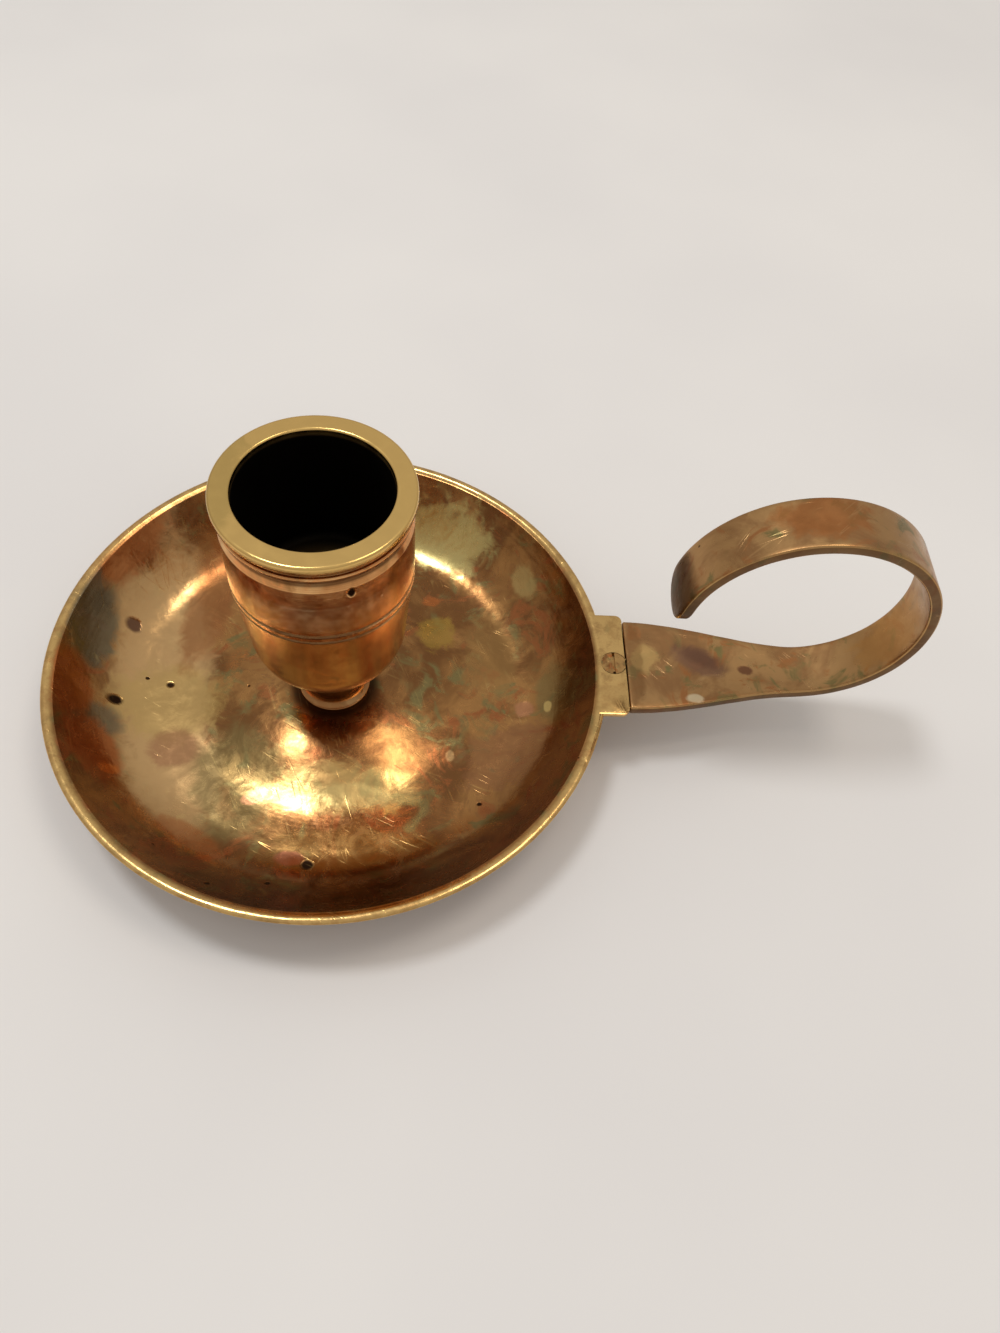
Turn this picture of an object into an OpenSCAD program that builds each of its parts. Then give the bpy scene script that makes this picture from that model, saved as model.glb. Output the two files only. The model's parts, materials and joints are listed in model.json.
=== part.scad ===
// Chamber candlestick: a saucer pan with a turned candle socket and a finger-loop handle.
// The base of the pan stands on z = 0 and the handle points along +X.

/* [Drip pan] */
// Outside diameter of the pan at its rim
pan_d = 91.5; // [86:0.5:100]
// Height of the rim above the surface that the pan stands on
pan_h = 13.5; // [12:0.5:16]
// Thickness of the pan's sheet
pan_t = 1.5; // [1.2:0.1:1.8]
// Height that the floor rises to under the socket
dome_h = 3.4; // [3.2:0.1:4]

/* [Candle socket] */
// Height of the socket's mouth above the surface that the pan stands on
socket_h = 52.8; // [48:0.2:60]
// Diameter of the candle bore
bore_d = 22; // [20:0.5:23]
// Depth of the candle bore
bore_depth = 22; // [18:0.5:24]
// Outside diameter of the ring round the mouth
lip_d = 28; // [27:0.1:29]

/* [Handle] */
// Thickness of the handle's strip
strip_t = 1.8; // [1.6:0.1:2.4]
// Width of the strip where it meets the pan
strip_root_w = 17.6; // [14:0.2:20]
// Width of the strip round the finger loop
strip_loop_w = 9.2; // [8:0.2:12]
// Distance from the pan's axis to where the strip starts to bend up
bend_start_x = 76.6; // [74:0.2:82]
// Inside radius of the loop where it bends up from the strip
loop_low_r = 15; // [14:0.2:16]
// Inside radius of the loop round its far side and over its top
loop_r = 19; // [18:0.2:20]
// Inside radius of the loop towards its free end
loop_end_r = 17.6; // [16.6:0.2:18.6]
// Angle of the last bend, from the top of the loop to its free end
end_turn = 85; // [70:1:88]

/* [Fixings] */
// Diameter of the screw that holds the socket down
socket_screw_d = 4; // [3:0.5:4]
// Diameter of the countersunk head that holds the handle
handle_screw_head_d = 4.4; // [3.8:0.1:4.4]
// Gap round a screw's shank and along the handle's seam
fit_gap = 0.1; // [0.05:0.05:0.15]

/* [Hidden] */
$fn = 96;
// How far a cutting shape reaches past what it cuts
cut = 1;
// Size of a small chamfer on a turned edge
fine = 0.2;

// Pan: a domed middle with a flat seat, a flat ring to stand on and a curved wall
pan_r = pan_d / 2;
rim_w = 1.6;
wall_in_r = pan_r - rim_w;
seat_r = 6.6;
seat_z = pan_t + dome_h;
foot_in_r = 26;
foot_out_r = 30;
// The wall rises with this power of the distance from the foot
wall_power = 2.3;
face_steps = 14;

// Socket: heights of its turned bands from the mouth down, and their radii
lip_side_h = 1.4;
groove_h = 1.2;
bead_h = 0.6;
neck_h = 2.4;
upper_band_h = 9.6;
upper_groove_h = 0.8;
twin_bead_h = 0.6;
lower_groove_h = 0.6;
lip_r = lip_d / 2;
groove_r = lip_r - 0.9;
bead_r = lip_r - 0.35;
neck_r = lip_r - 1.05;
body_r = lip_r - 0.5;
bowl_top_r = body_r - 0.2;
bowl_low_r = body_r - 1.3;
bowl_round_r = 8.5;
bowl_under_z = 14.8;
stem_r = 4.8;
stem_foot_r = 6;
stem_foot_h = 0.8;
stem_flare_r = 1.6;
stem_flare_angle = 230;
round_steps = 12;
groove_steps = 6;
// Angle at which the bowl's round underside meets the stem
bowl_round_start = -acos((stem_r - bowl_low_r + bowl_round_r) / bowl_round_r);

// Screw and washer under the socket
socket_screw_r = socket_screw_d / 2;
socket_screw_head_r = socket_screw_r + 1.6;
socket_screw_head_h = 1.7;
socket_screw_reach = 9;
washer_r = socket_screw_r + 2.6;
washer_t = 0.6;
slot_w = 0.8;
slot_depth = 0.7;

// Joint of pan and handle: an ear on the rim laps over a thin tongue on the strip
strip_top_z = pan_h;
strip_under_z = strip_top_z - strip_t;
ear_t = strip_t / 2;
ear_w = strip_root_w + 2.4;
ear_end_x = pan_r + 3.3;
ear_corner_r = 1.2;
tongue_w = strip_root_w - 3;
handle_screw_x = pan_r + 1.25;
handle_screw_r = 0.9;
handle_screw_head_r = handle_screw_head_d / 2;
handle_screw_head_h = 0.7;
handle_slot_w = 0.45;
handle_slot_depth = 0.35;

// Handle: its strip narrows in a smooth S, then bends through three arcs that run into each other
strip_start_x = ear_end_x + fit_gap;
taper_end_x = bend_start_x + 3.4;
taper_steps = 12;
low_turn = 70;
main_turn = 120;
bend_step = 5;
low_end = low_turn - 90;
main_end = low_end + main_turn;
tip_end = main_end + end_turn;
low_centre = [bend_start_x, strip_top_z + loop_low_r];
main_centre = low_centre - (loop_r - loop_low_r) * toward(low_end);
end_centre = main_centre + (loop_r - loop_end_r) * toward(main_end);
tip_r = strip_loop_w / 2 + 0.4;
tip_start = tip_end - asin(tip_r / loop_end_r);
plan_depth = 12;

// The origin is under the middle of the whole candlestick, between the pan's rim and the loop
reach = main_centre[0] + loop_r + strip_t;
pan_x = (pan_r - reach) / 2;

// Unit step in the direction of angle a
function toward(a) = [cos(a), sin(a)];

// Points on an arc round a centre from angle a to angle b
function arc(centre, r, a, b, steps) = [for (i = [0 : steps]) centre + r * toward(a + (b - a) * i / steps)];

function reversed(points) = [for (i = [len(points) - 1 : -1 : 0]) points[i]];

// A smooth fall from 1 to 0 as t goes from 0 to 1
function fall(t) = (1 + cos(180 * min(1, max(0, t)))) / 2;

// Height and slope of the pan's upper face at radius r
function dome_z(r) = dome_h * fall((r - seat_r) / (foot_in_r - seat_r));
function wall_z(r) = (pan_h - pan_t) * pow(max(0, (r - foot_out_r) / (wall_in_r - foot_out_r)), wall_power);
function face_z(r) = pan_t + dome_z(r) + wall_z(r);
function face_angle(r, step = 0.01) = atan((face_z(r + step) - face_z(r - step)) / (2 * step));
function under_point(r) = [r + pan_t * sin(face_angle(r)), face_z(r) - pan_t * cos(face_angle(r))];

dome_radii = [for (i = [0 : face_steps]) seat_r + (foot_in_r - seat_r) * i / face_steps];
wall_radii = [for (i = [0 : face_steps]) foot_out_r + (wall_in_r - foot_out_r) * i / face_steps];
face_radii = concat(dome_radii, wall_radii);

// Half width of the strip at distance x from the pan's axis
function strip_half_w(x) =
    (strip_loop_w + (strip_root_w - strip_loop_w) * fall((x - strip_start_x) / (taper_end_x - strip_start_x))) / 2;

// Points along the bend, d outside its inner face: low bend, far side and top, free end
function bend_points(d) = concat(
    arc(low_centre, loop_low_r + d, -90, low_end, low_turn / bend_step),
    arc(main_centre, loop_r + d, low_end + bend_step, main_end, main_turn / bend_step - 1),
    arc(end_centre, loop_end_r + d, main_end + bend_step, tip_end, ceil(end_turn / bend_step) - 1)
);

// Moves a shape drawn round the pan's axis into its place
module at_pan() {
    translate([pan_x, 0, 0]) children();
}

module pan_shell() {
    upper = [for (r = face_radii) [r, face_z(r)]];
    under = [for (r = face_radii) under_point(r)];
    rim_under_z = under[len(under) - 1][1];
    rotate_extrude()
        polygon(concat(
            [[0, seat_z]], upper,
            [[pan_r - fine, pan_h], [pan_r, pan_h - fine], [pan_r, rim_under_z + fine]],
            reversed(under), [[0, seat_z - pan_t]]
        ));
}

module ear_outline() {
    difference() {
        union() {
            translate([0, -ear_w / 2]) square([ear_end_x - ear_corner_r, ear_w]);
            translate([0, -ear_w / 2 + ear_corner_r]) square([ear_end_x, ear_w - 2 * ear_corner_r]);
            for (side = [-1, 1])
                translate([ear_end_x - ear_corner_r, side * (ear_w / 2 - ear_corner_r)])
                    circle(r = ear_corner_r);
        }
        circle(r = pan_r - rim_w / 2);
    }
}

module handle_screw_hole() {
    translate([handle_screw_x, 0, strip_top_z - handle_screw_head_h])
        cylinder(r1 = handle_screw_r + fit_gap, r2 = handle_screw_head_r, h = handle_screw_head_h);
    translate([handle_screw_x, 0, strip_under_z - cut])
        cylinder(r = handle_screw_r + fit_gap, h = strip_t + cut);
}

// Saucer with a flat rim and a small ear that laps over the handle
module drip_pan() {
    color("darkgoldenrod") at_pan() difference() {
        union() {
            pan_shell();
            translate([0, 0, strip_top_z - ear_t]) linear_extrude(ear_t) ear_outline();
        }
        handle_screw_hole();
        cylinder(r = socket_screw_r + fit_gap, h = seat_z + cut);
    }
}

// Half of a round groove, h high with its lower edge at height z
function round_groove(z, h) = arc([body_r, z + h / 2], h / 2, -90, -270, groove_steps);

// Outline of the turned socket from the middle of its foot up to the middle of its mouth
function socket_profile() =
    let (
        groove_top = socket_h - lip_side_h,
        bead_top = groove_top - groove_h,
        neck_top = bead_top - bead_h,
        band_top = neck_top - neck_h,
        band_low = band_top - upper_band_h,
        twin_low = band_low - upper_groove_h - twin_bead_h,
        bowl_top = twin_low - lower_groove_h,
        foot_top = seat_z + stem_foot_h,
        flare_centre = [stem_r + stem_flare_r, foot_top + stem_flare_r],
        round_centre = [bowl_low_r - bowl_round_r, bowl_under_z + bowl_round_r]
    )
    concat(
        [[0, seat_z], [stem_foot_r, seat_z], [stem_foot_r, foot_top - fine], [stem_foot_r - fine, foot_top]],
        arc(flare_centre, stem_flare_r, stem_flare_angle, 180, groove_steps),
        arc(round_centre, bowl_round_r, bowl_round_start, 0, round_steps),
        [[bowl_top_r, bowl_top]],
        round_groove(bowl_top, lower_groove_h),
        round_groove(band_low - upper_groove_h, upper_groove_h),
        // Hollow neck between the band and the bead
        [[body_r, band_top], [(body_r + neck_r) / 2, band_top + neck_h / 4], [neck_r, band_top + neck_h / 2],
         [neck_r + fine / 2, neck_top - fine], [bead_r - bead_h / 2, neck_top]],
        arc([bead_r - bead_h / 2, (neck_top + bead_top) / 2], bead_h / 2, -60, 60, groove_steps),
        [[groove_r, bead_top + fine], [groove_r, groove_top - fine], [lip_r - fine, groove_top]],
        [[lip_r, groove_top + fine], [lip_r, socket_h - fine], [lip_r - fine, socket_h], [0, socket_h]]
    );

// Turned cup with a blind bore for the candle, standing on a short stem
module candle_socket() {
    color("goldenrod") at_pan() difference() {
        rotate_extrude() polygon(socket_profile());
        translate([0, 0, socket_h - bore_depth]) cylinder(d = bore_d, h = bore_depth + cut);
        translate([0, 0, seat_z - cut])
            cylinder(r = socket_screw_r + fit_gap, h = socket_screw_reach + fit_gap + cut);
    }
}

module socket_washer() {
    color("peru") at_pan() translate([0, 0, seat_z - pan_t - washer_t]) difference() {
        cylinder(r = washer_r, h = washer_t);
        translate([0, 0, -cut]) cylinder(r = socket_screw_r + fit_gap, h = washer_t + 2 * cut);
    }
}

// Slotted screw that comes up through the washer and the pan into the stem
module socket_screw() {
    head_top = seat_z - pan_t - washer_t;
    head_low = head_top - socket_screw_head_h;
    color("peru") at_pan() difference() {
        union() {
            translate([0, 0, head_low]) cylinder(r = socket_screw_head_r, h = socket_screw_head_h);
            translate([0, 0, head_low]) cylinder(r = socket_screw_r, h = seat_z + socket_screw_reach - head_low);
        }
        translate([-socket_screw_head_r - cut, -slot_w / 2, head_low - cut])
            cube([2 * (socket_screw_head_r + cut), slot_w, slot_depth + cut]);
    }
}

// Side view of the strip: flat from the ear, then bent up, over and round
module strip_side() {
    polygon(concat(
        [[strip_start_x, strip_top_z]], bend_points(0), reversed(bend_points(strip_t)),
        [[strip_start_x, strip_under_z]]
    ));
}

// Plan of the flat strip and the foot of its bend
module strip_plan() {
    xs = [for (i = [0 : taper_steps]) strip_start_x + (taper_end_x - strip_start_x) * i / taper_steps];
    flank = concat([for (x = xs) [x, strip_half_w(x)]], [[reach + cut, strip_loop_w / 2]]);
    polygon(concat(flank, reversed([for (p = flank) [p[0], -p[1]]])));
}

// The strip narrows towards the loop and keeps one width round it
module bent_strip() {
    intersection() {
        rotate([90, 0, 0]) linear_extrude(2 * strip_root_w, center = true) strip_side();
        union() {
            translate([0, 0, strip_under_z - cut]) linear_extrude(plan_depth) strip_plan();
            translate([strip_start_x + cut, -strip_loop_w / 2, strip_under_z - cut])
                cube([reach, strip_loop_w, 3 * loop_r]);
        }
    }
}

// What is cut away to round the free end of the strip
module tip_corners() {
    past_strip = loop_r + strip_t + cut;
    translate([end_centre[0], 0, end_centre[1]])
        rotate([0, -tip_start, 0])
            difference() {
                translate([0, -strip_loop_w, 0]) cube([past_strip, 2 * strip_loop_w, 2 * tip_r]);
                translate([-cut, 0, 0]) rotate([0, 90, 0]) cylinder(r = tip_r, h = past_strip + 2 * cut);
            }
}

// Thin tongue that lies under the ear and stops just short of the pan's wall
module tongue() {
    difference() {
        translate([pan_r, -tongue_w / 2, strip_under_z])
            cube([strip_start_x + fit_gap - pan_r, tongue_w, strip_t - ear_t]);
        translate([0, 0, strip_under_z - cut]) cylinder(r = pan_r + fit_gap, h = strip_t + 2 * cut);
    }
}

// Strip that is flat at the pan and bent into an open ring for a finger
module finger_loop_handle() {
    color("olivedrab") at_pan() difference() {
        union() {
            tongue();
            bent_strip();
        }
        handle_screw_hole();
        tip_corners();
    }
}

// Countersunk screw, filed flush with the ear and with the underside of the tongue
module handle_screw() {
    color("tan") at_pan() difference() {
        union() {
            translate([handle_screw_x, 0, strip_top_z - handle_screw_head_h])
                cylinder(r1 = handle_screw_r, r2 = handle_screw_head_r - fit_gap, h = handle_screw_head_h);
            translate([handle_screw_x, 0, strip_under_z])
                cylinder(r = handle_screw_r, h = strip_t - handle_screw_head_h);
        }
        translate([handle_screw_x - handle_slot_w / 2, -handle_screw_head_r, strip_top_z - handle_slot_depth])
            cube([handle_slot_w, 2 * handle_screw_head_r, handle_slot_depth + cut]);
    }
}

drip_pan();
candle_socket();
socket_washer();
socket_screw();
finger_loop_handle();
handle_screw();
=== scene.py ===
"""Brass chamber candlestick: a worn saucer pan, a turned socket and a strip handle bent into a loop."""
import json
from math import acos, asin, atan, cos, hypot, pi, radians, sin

import bmesh
import bpy
from mathutils import Matrix, Vector, noise

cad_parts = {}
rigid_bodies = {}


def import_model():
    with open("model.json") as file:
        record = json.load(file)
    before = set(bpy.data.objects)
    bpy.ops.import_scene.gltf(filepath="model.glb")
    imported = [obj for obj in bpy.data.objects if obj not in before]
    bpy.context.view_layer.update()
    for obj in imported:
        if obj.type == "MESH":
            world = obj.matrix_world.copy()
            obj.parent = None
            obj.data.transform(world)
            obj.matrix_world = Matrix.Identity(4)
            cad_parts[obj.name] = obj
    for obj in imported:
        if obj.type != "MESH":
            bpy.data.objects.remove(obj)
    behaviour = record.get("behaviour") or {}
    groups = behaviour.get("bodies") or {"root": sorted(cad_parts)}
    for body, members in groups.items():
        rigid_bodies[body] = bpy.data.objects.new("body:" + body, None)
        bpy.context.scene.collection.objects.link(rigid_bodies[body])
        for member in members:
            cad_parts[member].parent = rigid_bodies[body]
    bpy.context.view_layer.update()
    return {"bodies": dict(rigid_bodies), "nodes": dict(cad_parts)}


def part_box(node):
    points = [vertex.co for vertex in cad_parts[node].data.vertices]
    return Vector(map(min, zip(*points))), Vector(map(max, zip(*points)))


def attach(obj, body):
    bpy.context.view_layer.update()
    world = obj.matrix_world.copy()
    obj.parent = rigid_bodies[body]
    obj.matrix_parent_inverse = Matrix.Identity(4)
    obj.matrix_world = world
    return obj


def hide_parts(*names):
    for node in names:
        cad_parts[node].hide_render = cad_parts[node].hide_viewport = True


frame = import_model()
BODY = next(iter(frame["bodies"]))

# Sizes are in millimetres from the pan's axis; MM turns them into metres
MM = 0.001
pan_low, pan_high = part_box("drip_pan")
socket_low, socket_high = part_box("candle_socket")
PAN_R = pan_high.y / MM
RIM_Z = pan_high.z / MM
AXIS_X = (pan_low.x + pan_high.y) / MM
LIP_R = socket_high.y / MM
MOUTH_Z = socket_high.z / MM
SEAT_Z = socket_low.z / MM

# Pan
SHEET = 1.5
RIM_W = 1.6
WALL_IN_R = PAN_R - RIM_W
SEAT_R = 6.6
FOOT_IN_R = 26
FOOT_OUT_R = 30
WALL_POWER = 2.3
DOME_H = SEAT_Z - SHEET
CROWN_R = PAN_R - 0.8

# Handle
STRIP_T = 1.8
ROOT_W = 17.6
LOOP_W = 9.2
EAR_T = STRIP_T / 2
EAR_W = ROOT_W + 2.4
EAR_END = PAN_R + 3.3
EAR_CORNER = 1.2
SEAM = 0.1
STRIP_START = EAR_END + SEAM
BEND_START = 76.6
TAPER_END = BEND_START + 3.4
LOW_R = 15
LOOP_R = 19
END_R = 17.6
LOW_TURN = 70
MAIN_TURN = 120
END_TURN = 85
SCREW_X = PAN_R + 1.25
SCREW_HEAD_R = 2.2

# Camera: where it stands over the pan's axis, how it is turned, and its lens
CAMERA_BACK = 95.304
CAMERA_ABOVE_RIM = 138.94
HANDLE_TURN = radians(9.7)
VIEW_TURN = 0.29539 - HANDLE_TURN
VIEW_DOWN = 0.97965
VIEW_ROLL = -0.13689
FOCAL_PX = 1007.1
IMAGE_HEIGHT_PX = 1333
SENSOR = 36


def toward(angle):
    """Unit step in the direction of an angle in degrees."""
    return Vector((cos(radians(angle)), sin(radians(angle))))


def arc(centre, radius, start, end, step=3):
    """Points on an arc from one angle to another, in degrees."""
    count = max(2, round(abs(end - start) / step))
    return [Vector(centre) + radius * toward(start + (end - start) * i / count) for i in range(count + 1)]


def smooth_step(low, high, value):
    """0 below low, 1 above high and a smooth rise between them."""
    t = min(1, max(0, (value - low) / (high - low)))
    return t * t * (3 - 2 * t)


def fall(t):
    """A smooth fall from 1 to 0 as t goes from 0 to 1."""
    return (1 + cos(pi * min(1, max(0, t)))) / 2


# Meshes
def mesh_object(name, mesh):
    obj = bpy.data.objects.new(name, mesh)
    bpy.context.scene.collection.objects.link(obj)
    return obj


def polyline(name, points):
    """An object of joined edges through the points, in metres."""
    mesh = bpy.data.meshes.new(name)
    mesh.from_pydata([Vector(p) * MM for p in points], [(i, i + 1) for i in range(len(points) - 1)], [])
    return mesh_object(name, mesh)


def rounded(corners, steps=5):
    """A polyline with arcs for its corners (r, z, fillet) and a point close to each end of a long side."""
    places = [Vector(c[:2]) for c in corners]
    points = []
    for i, place in enumerate(places):
        fillet = corners[i][2] if len(corners[i]) > 2 else 0
        if fillet == 0 or i in (0, len(places) - 1):
            points.append(place)
            continue
        back = (places[i - 1] - place).normalized()
        ahead = (places[i + 1] - place).normalized()
        half = acos(max(-1, min(1, back.dot(ahead)))) / 2
        reach = fillet / max(0.05, abs(sin(half) / cos(half)))
        start, end = place + back * reach, place + ahead * reach
        middle = place + (back + ahead).normalized() * (fillet / sin(half))
        for k in range(steps + 1):
            mixed = start.lerp(end, k / steps) - middle
            points.append(middle + mixed.normalized() * fillet)
    return supported(points)


def supported(points, near=0.15, long_side=0.7):
    held = [points[0]]
    for a, b in zip(points, points[1:]):
        span = (b - a).length
        if span > long_side:
            held += [a.lerp(b, near / span), b.lerp(a, near / span)]
        held.append(b)
    return held


def interface(tree, inputs, outputs):
    """Names the sockets of a node group and gives the inputs their first values."""
    for name, (kind, value) in inputs.items():
        socket = tree.interface.new_socket(name, in_out="INPUT", socket_type=kind)
        if value is not None:
            socket.default_value = value
    for name, kind in outputs.items():
        tree.interface.new_socket(name, in_out="OUTPUT", socket_type=kind)


class Graph:
    """Adds nodes to one tree, and links each input to a socket or gives it a value."""

    def __init__(self, tree):
        self.tree = tree

    def add(self, kind, inputs=None, **settings):
        node = self.tree.nodes.new(kind)
        for name, value in settings.items():
            setattr(node, name, value)
        for key, value in (inputs or {}).items():
            self.feed(node.inputs[key], value)
        return node

    def feed(self, socket, value):
        if isinstance(value, bpy.types.NodeSocket):
            self.tree.links.new(value, socket)
        else:
            socket.default_value = value

    def math(self, operation, *values, clamp=False):
        node = self.add("ShaderNodeMath", dict(enumerate(values)), operation=operation, use_clamp=clamp)
        return node.outputs[0]

    def vector(self, operation, *values):
        node = self.add("ShaderNodeVectorMath", dict(enumerate(values)), operation=operation)
        return node.outputs["Value" if operation in ("LENGTH", "DOT_PRODUCT") else "Vector"]

    def ramp(self, value, low, high, to_low=0.0, to_high=1.0):
        """Maps value smoothly from low..high to to_low..to_high."""
        inputs = {"Value": value, "From Min": low, "From Max": high, "To Min": to_low, "To Max": to_high}
        return self.add("ShaderNodeMapRange", inputs, interpolation_type="SMOOTHSTEP").outputs["Result"]

    def blend(self, factor, first, second, mode="MIX"):
        node = self.add("ShaderNodeMix", {0: factor, 6: first, 7: second}, data_type="RGBA", blend_type=mode)
        return node.outputs[2]

    def noise(self, place, scale, detail=3.0, roughness=0.5, distortion=0.0):
        inputs = {"Vector": place, "Scale": scale, "Detail": detail, "Roughness": roughness}
        return self.add("ShaderNodeTexNoise", {**inputs, "Distortion": distortion}).outputs["Fac"]


# Geometry node trees
def lathe_tree():
    """Turns a profile, given as edges with x outwards and y down the axis, into a closed round body."""
    tree = bpy.data.node_groups.new("lathe", "GeometryNodeTree")
    interface(
        tree,
        {
            "Geometry": ("NodeSocketGeometry", None),
            "Sides": ("NodeSocketInt", 192),
            "Ring radius": ("NodeSocketFloat", 0.01),
            "Weld": ("NodeSocketFloat", 0.00001),
            "Material": ("NodeSocketMaterial", None),
        },
        {"Geometry": "NodeSocketGeometry"},
    )
    g = Graph(tree)
    given = g.add("NodeGroupInput").outputs
    inwards = g.add("ShaderNodeCombineXYZ", {"X": g.math("MULTIPLY", given["Ring radius"], -1.0)})
    shifted = g.add(
        "GeometryNodeTransform", {"Geometry": given["Geometry"], "Translation": inwards.outputs[0]})
    profile = g.add("GeometryNodeMeshToCurve", {"Mesh": shifted.outputs[0]})
    ring = g.add(
        "GeometryNodeCurvePrimitiveCircle", {"Resolution": given["Sides"], "Radius": given["Ring radius"]})
    swept = g.add("GeometryNodeCurveToMesh", {"Curve": ring.outputs[0], "Profile Curve": profile.outputs[0]})
    welded = g.add("GeometryNodeMergeByDistance", {"Geometry": swept.outputs[0], "Distance": given["Weld"]})
    real = g.add("GeometryNodeRealizeInstances", {"Geometry": welded.outputs[0]})
    coated = g.add("GeometryNodeSetMaterial", {"Geometry": real.outputs[0], "Material": given["Material"]})
    g.add("NodeGroupOutput", {"Geometry": coated.outputs[0]})
    return tree


def bend_tree():
    """Lays a flat plate along a path: x is the distance along it, y stays across it and z stands off it."""
    tree = bpy.data.node_groups.new("bend_along_path", "GeometryNodeTree")
    interface(
        tree,
        {
            "Geometry": ("NodeSocketGeometry", None),
            "Path": ("NodeSocketObject", None),
            "Material": ("NodeSocketMaterial", None),
        },
        {"Geometry": "NodeSocketGeometry"},
    )
    g = Graph(tree)
    given = g.add("NodeGroupInput").outputs
    path = g.add("GeometryNodeObjectInfo", {"Object": given["Path"]}, transform_space="ORIGINAL")
    curve = g.add("GeometryNodeMeshToCurve", {"Mesh": path.outputs["Geometry"]}).outputs[0]
    place = g.add("ShaderNodeSeparateXYZ", {"Vector": g.add("GeometryNodeInputPosition").outputs[0]}).outputs
    along = g.math("MAXIMUM", place["X"], 0.0)
    before = g.math("MINIMUM", place["X"], 0.0)
    sampled = g.add("GeometryNodeSampleCurve", {"Curves": curve, "Length": along}, mode="LENGTH").outputs
    tangent = g.add("ShaderNodeSeparateXYZ", {"Vector": sampled["Tangent"]}).outputs
    inwards = g.add("ShaderNodeCombineXYZ", {"X": g.math("MULTIPLY", tangent["Z"], -1.0), "Z": tangent["X"]})
    off = g.add("ShaderNodeVectorMath", {0: inwards.outputs[0], "Scale": place["Z"]}, operation="SCALE")
    back = g.add("ShaderNodeVectorMath", {0: sampled["Tangent"], "Scale": before}, operation="SCALE")
    across = g.add("ShaderNodeCombineXYZ", {"Y": place["Y"]})
    moved = g.vector("ADD", g.vector("ADD", sampled["Position"], off.outputs[0]), across.outputs[0])
    moved = g.vector("ADD", moved, back.outputs[0])
    bent = g.add("GeometryNodeSetPosition", {"Geometry": given["Geometry"], "Position": moved})
    real = g.add("GeometryNodeRealizeInstances", {"Geometry": bent.outputs[0]})
    coated = g.add("GeometryNodeSetMaterial", {"Geometry": real.outputs[0], "Material": given["Material"]})
    g.add("NodeGroupOutput", {"Geometry": coated.outputs[0]})
    return tree


def grown(source, tree, name, **values):
    """Runs a tree on the source object and keeps the result as a plain mesh under a new name."""
    modifier = source.modifiers.new("grow", "NODES")
    modifier.node_group = tree
    for item in tree.interface.items_tree:
        if item.in_out == "INPUT" and item.name in values:
            modifier[item.identifier] = values[item.name]
    graph = bpy.context.evaluated_depsgraph_get()
    mesh = bpy.data.meshes.new_from_object(source.evaluated_get(graph))
    source.modifiers.remove(modifier)
    bpy.data.objects.remove(source)
    mesh.name = name
    return mesh_object(name, mesh)


def reworked(obj, work):
    """Changes an object's mesh with one function of its bmesh."""
    bm = bmesh.new()
    bm.from_mesh(obj.data)
    work(bm)
    bm.to_mesh(obj.data)
    bm.free()


def turned(name, profile, material, sides=192):
    """A round body round the pan's axis from its profile of (radius, height) points."""
    source = polyline(name + "_profile", [(p[0], -p[1], 0) for p in profile])
    obj = grown(source, LATHE, name, **{"Sides": sides, "Material": material})

    def settle(bm):
        bmesh.ops.translate(bm, verts=bm.verts, vec=(AXIS_X * MM, 0, 0))
        bmesh.ops.remove_doubles(bm, verts=bm.verts, dist=0.002 * MM)
        bmesh.ops.recalc_face_normals(bm, faces=bm.faces)

    reworked(obj, settle)
    return obj


def finished(obj, node, sharp=35):
    """Shades a piece smooth with crisp corners, and lets it stand for its CAD node."""
    for face in obj.data.polygons:
        face.use_smooth = True
    obj.data.set_sharp_from_angle(angle=radians(sharp))
    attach(obj, BODY)
    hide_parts(node)
    return obj


# Node groups that the finishes share
def group(name, inputs, outputs):
    tree = bpy.data.node_groups.new(name, "ShaderNodeTree")
    interface(tree, inputs, outputs)
    g = Graph(tree)
    return g, g.add("NodeGroupInput").outputs


def patch_group():
    """A soft-edged oval patch round a place, with its outline pushed in and out by Wobble."""
    vector, value = "NodeSocketVector", "NodeSocketFloat"
    inputs = {
        "Place": (vector, None),
        "Centre": (vector, None),
        "Reach": (vector, (1, 1, 1)),
        "Turn": (value, 0),
        "Wobble": (value, 0),
        "Edge": (value, 0.2),
        "Strength": (value, 1),
    }
    g, given = group("patch", inputs, {"Mask": value})
    off = g.vector("SUBTRACT", given["Place"], given["Centre"])
    turn = g.add(
        "ShaderNodeVectorRotate", {"Vector": off, "Angle": given["Turn"]}, rotation_type="Z_AXIS", invert=True)
    flat = g.vector("DIVIDE", turn.outputs[0], given["Reach"])
    reach = g.math("ADD", g.vector("LENGTH", flat), given["Wobble"])
    near = g.math("SUBTRACT", 1.0, given["Edge"])
    far = g.math("ADD", 1.0, given["Edge"])
    mask = g.ramp(reach, near, far, 1.0, 0.0)
    g.add("NodeGroupOutput", {"Mask": g.math("MULTIPLY", mask, given["Strength"])})
    return g.tree


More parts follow.
